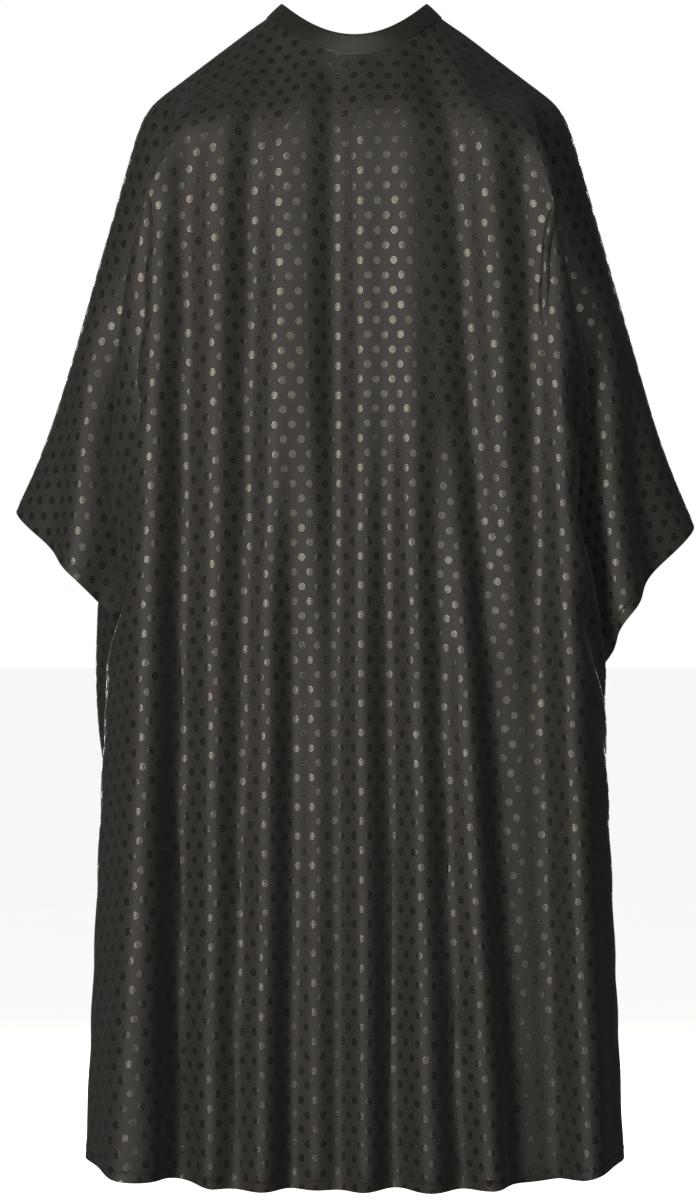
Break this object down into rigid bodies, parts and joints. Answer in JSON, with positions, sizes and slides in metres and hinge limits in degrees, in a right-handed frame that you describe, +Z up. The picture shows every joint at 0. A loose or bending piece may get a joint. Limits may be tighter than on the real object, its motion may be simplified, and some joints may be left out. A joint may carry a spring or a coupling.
{
  "type": "barber cape",
  "caption": "Draped cloth cape that covers a seated client from the neck down, with a folded neck band and a snap closure at the back.",
  "frame": {"origin": "centre of the neck opening, level with the upper edge of the neck band at the front", "axes": "+Z up along the length of the hanging cape, front of the cape towards -Y, +X to the right seen from the front"},
  "size_m": [0.7128, 0.2938, 1.2109],
  "materials": {
    "cape_cloth": "dark grey polyester jacquard with a tone-on-tone dot pattern, satin sheen",
    "band_satin": "dark grey plain satin",
    "interlining_felt": "matt non-woven",
    "snap_nickel": "nickel plated, smooth"
  },
  "bodies": {
    "cape": {"cape_panel": "cape_cloth", "neck_band": "band_satin", "band_interlining": "interlining_felt", "snap_stud_1": "snap_nickel", "snap_stud_2": "snap_nickel", "snap_stud_3": "snap_nickel", "snap_stud_4": "snap_nickel", "snap_stud_5": "snap_nickel", "snap_stud_6": "snap_nickel", "snap_post_1": "snap_nickel", "snap_post_2": "snap_nickel", "snap_post_3": "snap_nickel", "snap_post_4": "snap_nickel", "snap_post_5": "snap_nickel", "snap_post_6": "snap_nickel"},
    "tab": {"neck_tab": "band_satin", "snap_socket_1": "snap_nickel", "snap_socket_2": "snap_nickel", "snap_cap_1": "snap_nickel", "snap_cap_2": "snap_nickel"}
  },
  "joints": [
    {"name": "tab_opening", "type": "hinge", "parent": "cape", "child": "tab", "pos_m": [-0.01708, 0.08159, 0.01178], "axis": [0.1214, -0.5712, 0.8118], "range_deg": [0, 70]}
  ]
}
